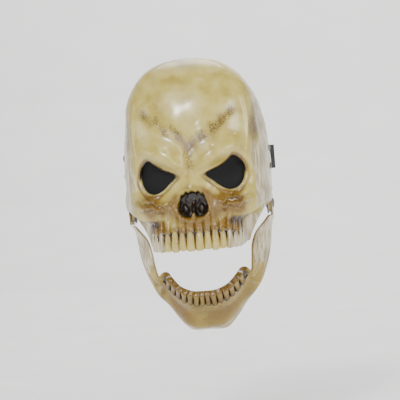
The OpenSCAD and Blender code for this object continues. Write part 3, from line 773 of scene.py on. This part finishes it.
def jaw_surface(u, v, detail):
    b = np.abs(u)
    rows = along_jaw(u)
    base = rows[:, :3] + (rows[:, 3:6] - rows[:, :3]) * v[:, None]
    out = base * (1, 1.1, 0)
    out /= np.linalg.norm(out, axis=1, keepdims=True)
    chin_swell = 1.1 * dome(v, 0 * v, 0.24, 0, 0.34, 1) + 0.3 * dome(v, 0 * v, 0.68, 0, 0.2, 1)
    swell = rows[:, 6] * (chin_swell + (np.sin(math.pi * v) - chin_swell) * smooth(5, 7, b))
    if detail:
        across, drop, gum, toothed = lower_tooth(u, v)
        crown = smooth(1.0, -1.0, drop - gum)
        taper = np.abs(across) * (0.95 + 0.25 * np.clip(drop / gum, 0, 1))
        teeth = crown * (1.9 * (1 - np.minimum(taper, 1) ** 3) - 1.2 * smooth(0.85, 1.02, taper))
        teeth = teeth * smooth(-1, 4, drop + 1.5)
        teeth = teeth + 1.7 * ridge(drop - gum - 1.8, 1.6) - 0.9 * ridge(drop - gum - 5, 2.2)
        roots = 0.6 * (1 - across ** 2) * ridge(drop - gum - 6, 5)
        # Streaked grooves run down the branches, with small pits in them.
        side = np.sign(u)
        grooves = 0.4 * wander(v * 26 + side, b * 0.8, seed=21) * smooth(5, 6.5, b)
        grooves = grooves * smooth(0, 0.08, v) * smooth(1, 0.92, v)
        pits = -1.0 * sum(dome(b, v, pu, pv, 0.16, 0.1) for pu, pv in (
            (9.0, 0.55), (8.55, 0.35), (9.3, 0.3), (6.4, 0.4), (5.8, 0.25), (7.3, 0.7), (8.0, 0.2),
        ))
        lumps = 0.5 * wander(b * 1.1 + side * 2, v * 5, seed=22) * smooth(0, 0.1, v) * smooth(9, 7, b)
        dents = -1.2 * dome(b, v, 1.1, 0.14, 0.5, 0.12) * smooth(0, 0.05, v)
        dents = dents + 0.8 * dome(b, v, 0, 0.2, 0.7, 0.2)
        worn = grooves + pits + dents + lumps * (1 - 0.8 * toothed * crown)
        fine = toothed * (teeth + roots) + worn * smooth(tab_u, 9.0, b)
        fine = fine - 0.8 * ridge(v - 1, 0.07) * (1 - toothed) * smooth(tab_u, 8.5, b)
        swell = swell + fine
    p = base + out * swell[:, None]
    p[:, 0] = np.where(b > tab_u, tab_x, np.minimum(tab_x, p[:, 0])) * np.where(u < 0, -1, 1)
    if detail:
        notch = (1.6 * np.abs(across) ** 4 + 0.5 * np.sin(b * 5)) * toothed * smooth(3, 0, drop)
        p[:, 2] -= notch
    return p


def jaw_inside(u, v, depth):
    e = 0.02
    ahead, behind = np.minimum(last_station, u + e), np.maximum(-last_station, u - e)
    across = jaw_surface(ahead, v, False) - jaw_surface(behind, v, False)
    up = jaw_surface(u, np.minimum(1, v + e), False) - jaw_surface(u, np.maximum(0, v - e), False)
    inward = np.cross(up, across)
    inward /= np.linalg.norm(inward, axis=1, keepdims=True)
    on_tab = np.abs(u) > tab_u
    inward[on_tab] = (-1, 0, 0)
    inward[on_tab, 0] *= np.where(u[on_tab] < 0, -1, 1)
    # The biting edge is cast thicker, as a ledge behind the teeth.
    ledge = 3.5 * smooth(4.6, 3.8, np.abs(u)) * smooth(0.86, 0.97, v)
    return jaw_surface(u, v, False) + inward * (depth + ledge[:, None])


jaw = bmesh.new()
bmesh.ops.create_grid(jaw, x_segments=300, y_segments=84, size=1)
along_layer = jaw.verts.layers.float.new("along")
up_layer = jaw.verts.layers.float.new("up")
for vert in jaw.verts:
    s, t = vert.co.x, (vert.co.y + 1) / 2
    vert[along_layer] = last_station * s * (0.55 + 0.45 * s * s)
    vert[up_layer] = t
cast = bmesh.ops.duplicate(jaw, geom=jaw.verts[:] + jaw.edges[:] + jaw.faces[:])["geom"]
cast_set = set(g for g in cast if isinstance(g, bmesh.types.BMVert))
cast_faces = [g for g in cast if isinstance(g, bmesh.types.BMFace)]
for verts, surface in (
    ([v for v in jaw.verts if v not in cast_set], lambda u, v: jaw_surface(u, v, True)),
    (list(cast_set), lambda u, v: jaw_inside(u, v, wall)),
):
    put(verts, surface(np.array([v[along_layer] for v in verts]), np.array([v[up_layer] for v in verts])))
bmesh.ops.reverse_faces(jaw, faces=cast_faces)
for face in cast_faces:
    face.material_index = 1
punch_hinge(jaw, hinge_hole_r)
close_wall(jaw, cast_set)
bmesh.ops.recalc_face_normals(jaw, faces=jaw.faces[:])
bmesh.ops.rotate(jaw, verts=jaw.verts[:], cent=(0, 0, 0), matrix=Matrix.Rotation(jaw_open, 3, "X"))
# The jaw's paint is the skull's latex painted darker: partly its own olive, partly painted shade for the
# chin that hangs below the face.
jaw_latex_with_shade = painted_latex("varnished_latex_jaw_painted_shade", "#9a8230", "#755d1a", "#b39a45", "#7f6c48")
jaw_piece = mesh_object("lower_jaw_latex", jaw, jaw_latex_with_shade, cast_latex)


def read_layer(piece, name):
    values = np.empty(len(piece.data.vertices))
    piece.data.attributes[name].data.foreach_get("value", values)
    return values


u, v = read_layer(jaw_piece, "along"), read_layer(jaw_piece, "up")
b, side = np.abs(u), np.sign(u)
across, drop, gum, toothed = lower_tooth(u, v)
gum_share = np.clip(drop / gum, 0, 1.2)
# Painted shade, near black, in the gaps between the lower teeth.
gap_shade = smooth(0.98 - 0.3 * gum_share, 1.12 - 0.3 * gum_share, np.abs(across))
gap_shade = gap_shade * smooth(1, -1, drop - gum) * toothed
gum_ridge = toothed * ridge(drop - gum - 1.8, 1.5)
stain = (
    0.3 * smooth(5.5, 3.5, b) + 0.45 * toothed * smooth(1, -2, drop - gum) * (0.6 + 0.8 * gum_share)
    + 0.45 * dome(b, v, 1.5, 0.42, 2.2, 0.22) + 0.5 * dome(b, v, 6.5, 0.1, 2.4, 0.3)
    + 0.6 * smooth(0.93, 0.99, v) * smooth(4.5, 5.5, b) + 0.7 * toothed * smooth(0.96, 1, v)
    + 0.25 * wander(b * 0.9 + side, v * 4, seed=31) - 0.8 * gum_ridge
)
ivory = smooth(5.6, 7.4, b + 1.2 * (v - 0.5) + 0.25 * wander(v * 6, side, seed=32))
ivory = ivory * smooth(1.0, 0.94, v) + 0.25 * gum_ridge
# The dark share: painted shade between the teeth, along the gum line and on the crowns just above it, and a
# dark band along the branches' upper edge.
dark = np.maximum(gap_shade, 0.75 * toothed * ridge(drop - gum, 0.8))
dark = dark + 0.3 * smooth(0.97, 1, v) * smooth(4.5, 5.5, b)
dark = (dark + 0.35 * toothed * ridge(drop - gum + 3, 3.5)) * (1 - 0.9 * ridge(b - 4.25, 0.3))
speckle = 0.25 + 0.45 * smooth(7.5, 4, b) + 0.3 * dome(b, v, 6.5, 0.1, 2.4, 0.3)
set_paint(jaw_piece, stain, ivory, dark, speckle)
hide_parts("lower_jaw")
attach(jaw_piece, "jaw")


# ---- Eye meshes: fine black gauze glued behind each eye hole.
# Two small pieces of stretched net, cut 6 mm larger than the hole all round.
def square_to_disc(s, t):
    return s * np.sqrt(1 - t * t / 2), t * np.sqrt(1 - s * s / 2)


def threads(tree, place, pitch, direction, distortion=0.0):
    """Threads a pitch apart across one axis; a wave texture of scale 1 repeats every 0.314."""
    sockets = {"Scale": 0.314 / pitch, "Distortion": distortion}
    made = add(tree, "ShaderNodeTexWave", {"Vector": place}, sockets, bands_direction=direction)
    return made.outputs["Fac"]


def join(tree, first, second, operation="ADD"):
    return add(tree, "ShaderNodeMath", {0: first, 1: second}, operation=operation).outputs[0]


def gauze_material():
    made, tree, shader = material("black_gauze_painted_shade")
    place = add(tree, "ShaderNodeTexCoord").outputs["Object"]
    slant = {"Rotation": (0.0, math.radians(33), 0.0)}
    bias = add(tree, "ShaderNodeMapping", {"Vector": place}, slant).outputs[0]
    # The net's threads are 1.1 mm apart both ways.
    weave = [threads(tree, bias, 0.0011, direction, 0.6) for direction in ("X", "Z")]
    net = join(tree, *weave, operation="MAXIMUM")
    # The net is an opaque black sheet: the gauze's own black, and painted shade standing in for the dark of
    # the face behind it.
    black = ramp(tree, net, [(0.45, "#010102"), (0.95, "#1b1b1e")])
    coat(tree, shader, black, net, 0.6, 0.0003, roughness=0.7)
    shader.inputs["Specular IOR Level"].default_value = 0.25
    return made


gauze = gauze_material()
mesh_margin, mesh_depth, gauze_t = 6.0, wall + 1.4, 0.5
for name, sign in (("left", -1), ("right", 1)):
    net = bmesh.new()
    bmesh.ops.create_grid(net, x_segments=36, y_segments=36, size=1)
    spots = np.array([vert.co for vert in net.verts])
    s, t = square_to_disc(spots[:, 0], spots[:, 1])
    share, turn = np.hypot(s, t), np.arctan2(t, s)
    reach_out = share * (np.interp(turn, eye_turns, eye_radii, period=2 * math.pi) + mesh_margin)
    x, z = eye_x + reach_out * np.cos(turn), eye_h + reach_out * np.sin(turn)
    depth_here = section_d(z) * (1 - (x / section_w(z)) ** 2.3) ** (1 / 2.3)
    a = np.arctan2(x, depth_here)
    put(net.verts, inner_surface(a, z, mesh_depth) * (sign, 1, 1))
    bmesh.ops.recalc_face_normals(net, faces=net.faces[:])
    flat_area = sum(f.calc_area() for f in net.faces)
    bmesh.ops.solidify(net, geom=net.faces[:], thickness=gauze_t * MM)
    bmesh.ops.recalc_face_normals(net, faces=net.faces[:])
    piece = mesh_object("eye_gauze_" + name, net, gauze)
    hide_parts("eye_mesh_" + name)
    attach(piece, "mask")


# ---- Hinge rivets, washers and patches: steel rivets through both shells.
# A cotton patch glued inside each flap keeps the latex from tearing round the rivet.
def turned(bm, profile, middle=(0.0, 0.0), closed=False, steps=48):
    """Spins a profile of (x, radius) points round an X axis through middle (y, z)."""
    y, z = middle
    verts = [bm.verts.new((x * MM, y * MM, (z + r) * MM)) for x, r in profile]
    edges = [bm.edges.new(pair) for pair in zip(verts, verts[1:])]
    if closed:
        edges.append(bm.edges.new((verts[-1], verts[0])))
    bmesh.ops.spin(
        bm, geom=verts + edges, cent=(0, y * MM, z * MM), axis=(1, 0, 0),
        angle=2 * math.pi, steps=steps, use_merge=True,
    )
    bmesh.ops.remove_doubles(bm, verts=bm.verts[:], dist=1e-6)


def domed(under, height, radius, points):
    """The profile of a domed head, from its top to its edge."""
    quarter = np.linspace(0, math.pi / 2, points)
    return [(under + height * math.cos(q), radius * math.sin(q)) for q in quarter]


def metal_material():
    made, tree, shader = material("worn_nickel_rivet")
    place = add(tree, "ShaderNodeTexCoord").outputs["Object"]
    wear = noise(tree, place, 1 / 0.0015, 6.0)
    nickel = ramp(tree, wear, [(0.35, "#4b4238"), (0.55, "#8f8a80"), (0.75, "#b9b5ab")])
    tree.links.new(nickel, shader.inputs["Base Color"])
    tree.links.new(bump(tree, wear, 0.2, 0.0002), shader.inputs["Normal"])
    rough = add(tree, "ShaderNodeMapRange", {"Value": wear}, {"To Min": 0.5, "To Max": 0.22})
    tree.links.new(rough.outputs[0], shader.inputs["Roughness"])
    shader.inputs["Metallic"].default_value = 1.0
    return made


def woven_material(name, dark, light, pitch, roughness):
    """Plain weave with threads a pitch apart, made of two crossed waves."""
    made, tree, shader = material(name)
    place = add(tree, "ShaderNodeTexCoord").outputs["Object"]
    cloth = join(tree, threads(tree, place, pitch, "Y", 0.4), threads(tree, place, pitch, "Z", 0.4))
    total = join(tree, cloth, noise(tree, place, 1 / 0.0012, 5.0))
    share = add(tree, "ShaderNodeMath", {0: total}, {1: 0.36}, operation="MULTIPLY").outputs[0]
    coat(tree, shader, ramp(tree, share, [(0.2, dark), (0.85, light)]), total, 0.6, 0.0003, roughness)
    shader.inputs["Sheen Weight"].default_value = 0.3
    return made


rivet_metal = metal_material()
patch_cotton = woven_material("glued_cotton_patch", "#2a2926", "#5d5a52", 0.0008, 0.9)
seat_wall, patch_t, washer_t, side_gap, head_h, head_r, post_r = 2.6, 1.0, 0.8, 0.3, 1.6, 5.5, 2.5
washer_r, patch_r = 5.5, 11.0
post_in = seat_x - seat_wall - patch_t - washer_t
for name, sign in (("left", -1), ("right", 1)):
    rivet = bmesh.new()
    under_head = tab_x + side_gap
    head = domed(under_head, head_h, head_r, 12)
    # The post's end is rolled over the washer, with a dimple in its middle.
    rolled = [(-0.1, post_r), (-0.1, 4.0), (-0.5, 3.9), (-0.8, 3.4), (-0.8, 1.4), (-0.4, 0.0)]
    turned(rivet, head + [(under_head, post_r)] + [(post_in + x, r) for x, r in rolled])
    washer = bmesh.new()
    washer_out = post_in + washer_t
    turned(washer, [
        (post_in, post_r), (washer_out, post_r), (washer_out, washer_r - 0.2),
        (washer_out - 0.2, washer_r), (post_in + 0.2, washer_r), (post_in, washer_r - 0.2),
    ], closed=True)
    patch = bmesh.new()
    inner = seat_x - seat_wall - patch_t
    turned(patch, [
        (inner, post_r), (inner + patch_t, post_r), (inner + patch_t, patch_r - 0.1),
        (inner + 0.5, patch_r), (inner + 0.15, patch_r - 0.2), (inner, patch_r - 0.8),
    ], closed=True, steps=64)
    for part, form, node, slot, finish in (
        ("rivet", rivet, "hinge_rivet_", "rivet_metal", rivet_metal),
        ("washer", washer, "hinge_washer_", "rivet_metal", rivet_metal),
        ("patch", patch, "hinge_patch_", "patch_cloth", patch_cotton),
    ):
        bmesh.ops.scale(form, vec=(sign, 1, 1), verts=form.verts[:])
        bmesh.ops.recalc_face_normals(form, faces=form.faces[:])
        piece = mesh_object("turned_" + part + "_" + name, form, finish)
        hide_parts(node + name)
        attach(piece, "mask")


# ---- Foam pads: soft grey foam glued inside the forehead and temples, and a cup for the chin.
# Die-cut from 7 mm sheet, with rounded corners and edges that the cutter pressed down.
def foam_material():
    made, tree, shader = material("open_cell_foam")
    place = add(tree, "ShaderNodeTexCoord").outputs["Object"]
    cells = add(tree, "ShaderNodeTexVoronoi", {"Vector": place}, {"Scale": 1 / 0.0011}, feature="SMOOTH_F1")
    pores = cells.outputs["Distance"]
    total = join(tree, pores, noise(tree, place, 1 / 0.009))
    grey = ramp(tree, total, [(0.45, "#1b1b1d"), (0.75, "#37373b"), (1.0, "#4a4a4f")])
    coat(tree, shader, grey, pores, 0.9, 0.0006, roughness=0.95)
    shader.inputs["Sheen Weight"].default_value = 0.2
    return made


foam = foam_material()
pad_t, glue_gap, forehead_pad_w = 7.0, 0.8, 88


def crowned_pad(surface, cells):
    """A closed pad between its glued face and a crowned face, over a rounded square field."""
    pad = bmesh.new()
    bmesh.ops.create_grid(pad, x_segments=cells[0], y_segments=cells[1], size=1)
    back = bmesh.ops.duplicate(pad, geom=pad.verts[:] + pad.edges[:] + pad.faces[:])["geom"]
    back_verts = set(g for g in back if isinstance(g, bmesh.types.BMVert))
    bmesh.ops.reverse_faces(pad, faces=[g for g in back if isinstance(g, bmesh.types.BMFace)])
    spots = np.array([vert.co for vert in pad.verts])
    s = spots[:, 0] * np.sqrt(1 - 0.38 * spots[:, 1] ** 2)
    t = spots[:, 1] * np.sqrt(1 - 0.38 * spots[:, 0] ** 2)
    edge = np.maximum(np.abs(spots[:, 0]), np.abs(spots[:, 1]))
    full = np.sqrt(np.clip(1 - edge ** 8, 0, 1)) * (0.86 + 0.14 * (1 - edge ** 2))
    raised = np.array([vert in back_verts for vert in pad.verts])
    top = glue_gap + 0.5 * pad_t * (1 - full) + 0.9 * full * pad_t + 0.1 * pad_t
    depth = np.where(raised, top, glue_gap + 0.25 * pad_t * (1 - full))
    depth = np.where(raised & (edge > 0.999), glue_gap + 0.45 * pad_t, depth)
    put(pad.verts, surface(s, t, depth))
    close_wall(pad, back_verts)
    bmesh.ops.recalc_face_normals(pad, faces=pad.faces[:])
    return pad


def forehead_field(s, t, depth):
    half_turn = math.radians(0.5 * forehead_pad_w / face_d * 60)
    return inner_surface(s * half_turn, 0.66 * crown_h + 13 * t, wall + depth)


def temple_field(s, t, depth):
    return inner_surface(math.radians(68) + math.radians(9) * s, 0.6 * crown_h + 17 * t, wall + depth)


def chin_field(s, t, depth):
    place = jaw_inside(2.2 * s, 0.29 + 0.21 * t, (wall + depth)[:, None])
    turn = np.array(Matrix.Rotation(jaw_open, 3, "X"))
    return place @ turn.T


for name, field, cells, sign, body, node in (
    ("forehead_foam", forehead_field, (60, 20), 1, "mask", "forehead_pad"),
    ("temple_foam_right", temple_field, (20, 24), 1, "mask", "temple_pad_right"),
    ("temple_foam_left", temple_field, (20, 24), -1, "mask", "temple_pad_left"),
    ("chin_foam", chin_field, (48, 18), 1, "jaw", "chin_cup"),
):
    pad = crowned_pad(field, cells)
    bmesh.ops.scale(pad, vec=(sign, 1, 1), verts=pad.verts[:])
    bmesh.ops.recalc_face_normals(pad, faces=pad.faces[:])
    piece = mesh_object(name, pad, foam)
    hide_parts(node)
    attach(piece, body)


# ---- Straps: two bands of black ribbed elastic, 25 mm wide, that lap behind the head.
# Each is riveted to the shell's side and sewn to one half of the hook-and-loop closure.
strap_w, strap_t, strap_h, hook_t, lap = 25.0, 1.6, 49.0, 1.4, 60.0
head_back, strap_edge_y, strap_lie, strap_spread, strap_turn = 104.0, -7.0, 1.2, 7.0, 24.0
edges_x = face_surface(np.full(2, math.pi / 2), strap_h + np.array([-0.5, 0.5]) * strap_w, False)[:, 0]
strap_edge_x = float(edges_x.min()) - wall - strap_lie
outer_lift = strap_t + 2 * hook_t
lap_turn = math.radians(90 + 0.5 * lap / head_back * 64)


def head_curve(b, off):
    """Plan of the band round the head at an angle from the side, off the inner face by some millimetres."""
    w, d = strap_edge_x - strap_t + strap_spread + off, head_back - strap_turn + off
    return w * np.sign(np.cos(b)) * np.abs(np.cos(b)) ** 0.78, strap_turn + d * np.sin(b) ** 0.78


def elastic_material():
    made, tree, shader = material("ribbed_black_elastic")
    lie = add(tree, "ShaderNodeAttribute", attribute_name="lie").outputs["Vector"]
    # Ribs run along the band 1.5 mm apart, crossed by fine threads 0.6 mm apart.
    weave = join(tree, threads(tree, lie, 1.5, "Y"), threads(tree, lie, 0.6, "X", 0.5))
    total = join(tree, weave, noise(tree, lie, 1.1))
    share = add(tree, "ShaderNodeMath", {0: total}, {1: 0.36}, operation="MULTIPLY").outputs[0]
    black = ramp(tree, share, [(0.2, "#040405"), (0.6, "#0e0e10"), (0.9, "#1c1c1f")])
    coat(tree, shader, black, total, 0.7, 0.0004, roughness=0.75)
    shader.inputs["Sheen Weight"].default_value = 0.08
    return made


def band_piece(name, plan, height, thick, sign, finish, cells):
    """A band from a plan curve (along 0..1, off the inner face) that stands upright round the head."""
    band = bmesh.new()
    bmesh.ops.create_grid(band, x_segments=cells[0], y_segments=cells[1], size=1)
    spots = np.array([vert.co for vert in band.verts])
    along, up = (spots[:, 0] + 1) / 2, spots[:, 1] * height / 2
    x, y = plan(along, 0 * along)
    put(band.verts, np.stack([sign * x, y, strap_h + up], axis=1))
    lie = band.verts.layers.float_vector.new("lie")
    fine = np.linspace(0, 1, 400)
    fx, fy = plan(fine, 0 * fine)
    length = np.concatenate([[0], np.cumsum(np.hypot(np.diff(fx), np.diff(fy)))])
    for vert, run, rise in zip(band.verts, np.interp(along, fine, length), up):
        vert[lie] = (run, rise, 0)
    bmesh.ops.recalc_face_normals(band, faces=band.faces[:])
    outer = bmesh.ops.extrude_face_region(band, geom=band.faces[:])["geom"]
    outer_verts = [g for g in outer if isinstance(g, bmesh.types.BMVert)]
    runs = np.interp([v[lie][0] for v in outer_verts], length, fine)
    x, y = plan(runs, thick + 0 * runs)
    rises = np.array([v[lie][1] for v in outer_verts])
    put(outer_verts, np.stack([sign * x, y, strap_h + rises], axis=1))
    bmesh.ops.recalc_face_normals(band, faces=band.faces[:])
    piece = mesh_object(name, band, finish)
    return piece, float(length[-1]) * MM


def strap_plan(lift):
    def plan(along, off):
        b = np.clip((along - 0.2) / 0.8, 0, 1) * lap_turn
        raised = lift * smooth(math.radians(35), math.radians(62), b)
        x, y = head_curve(b, off + raised)
        side_y = strap_edge_y - 8 + (strap_turn - strap_edge_y + 8) * along / 0.2
        side_x = strap_edge_x - strap_t + off + strap_spread * smooth(strap_edge_y + 8, strap_turn, side_y)
        return np.where(along < 0.2, side_x, x), np.where(along < 0.2, side_y, y)
    return plan


elastic = elastic_material()
for name, sign, lift in (("left", -1, outer_lift), ("right", 1, 0.0)):
    plan = strap_plan(lift)
    piece, length = band_piece("elastic_strap_" + name, plan, strap_w, strap_t, sign, elastic, (120, 16))
    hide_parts("strap_" + name)
    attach(piece, "mask")


# ---- Hook-and-loop closure: a soft loop half on the right strap and a hook half under the left.
# Woven nylon tape 23 mm wide, sewn round its edges.
def tape_material(name, dark, light, tuft, strength):
    made, tree, shader = material(name)
    lie = add(tree, "ShaderNodeAttribute", attribute_name="lie").outputs["Vector"]
    tufts = add(tree, "ShaderNodeTexVoronoi", {"Vector": lie}, {"Scale": 1 / tuft})
    total = join(tree, tufts.outputs["Distance"], noise(tree, lie, 2.0, 6.0))
    coat(tree, shader, ramp(tree, total, [(0.45, light), (1.1, dark)]), total, strength, 0.0006, 0.85)
    shader.inputs["Sheen Weight"].default_value = 0.5
    return made


def lap_plan(low):
    def plan(along, off):
        b = math.pi - lap_turn + along * (2 * lap_turn - math.pi)
        return head_curve(b, low + off)
    return plan


sew_gap = 0.15
soft_loop = tape_material("soft_loop_nylon", "#0b0b0c", "#2a2a2e", 0.7, 0.9)
stiff_hook = tape_material("stiff_hook_nylon", "#060607", "#1f1f22", 1.0, 0.6)
for name, low, high, sign, finish, node in (
    ("loop_tape", strap_t + sew_gap, strap_t + hook_t, 1, soft_loop, "loop_patch"),
    ("hook_tape", strap_t + hook_t, outer_lift - sew_gap, -1, stiff_hook, "hook_patch"),
):
    piece, length = band_piece(name, lap_plan(low), strap_w - 2, high - low, sign, finish, (80, 12))
    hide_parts(node)
    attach(piece, "mask")


# ---- Strap rivets and washers: two small domed rivets a side hold each strap to the shell.
# Nickelled steel, 7 mm heads outside and an 8 mm washer inside the strap.
small_head_r, small_head_h, small_post_r, small_washer_r, head_gap = 3.5, 1.2, 1.5, 4.0, 0.4
back = strap_edge_x - strap_t
rolled = [(-1.3, small_post_r), (-1.4, 1.2), (-1.1, 0.0)]
ring = [
    (-0.8, small_post_r), (-0.8, small_washer_r - 0.2), (-0.6, small_washer_r),
    (-0.15, small_washer_r), (0, small_washer_r - 0.2), (0, small_post_r),
]
for name, sign in (("left", -1), ("right", 1)):
    rivets, washers = bmesh.new(), bmesh.new()
    for up in (-9.5, 9.5):
        middle = (strap_edge_y, strap_h + up)
        # The head lies on the shell's widest side under its own edge.
        head_foot = np.array([strap_h + up - small_head_r])
        under = float(face_surface(np.array([math.pi / 2]), head_foot, False)[0, 0]) + head_gap
        head = domed(under, small_head_h, small_head_r, 10)
        end = [(back + x, r) for x, r in rolled]
        turned(rivets, head + [(under, small_post_r)] + end, middle, steps=32)
        turned(washers, [(back + x, r) for x, r in ring], middle, closed=True, steps=32)
    for part, form, node in (
        ("small_rivets_", rivets, "strap_rivets_"),
        ("small_washers_", washers, "strap_washers_"),
    ):
        bmesh.ops.scale(form, vec=(sign, 1, 1), verts=form.verts[:])
        bmesh.ops.recalc_face_normals(form, faces=form.faces[:])
        piece = mesh_object(part + name, form, rivet_metal)
        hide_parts(node + name)
        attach(piece, "mask")
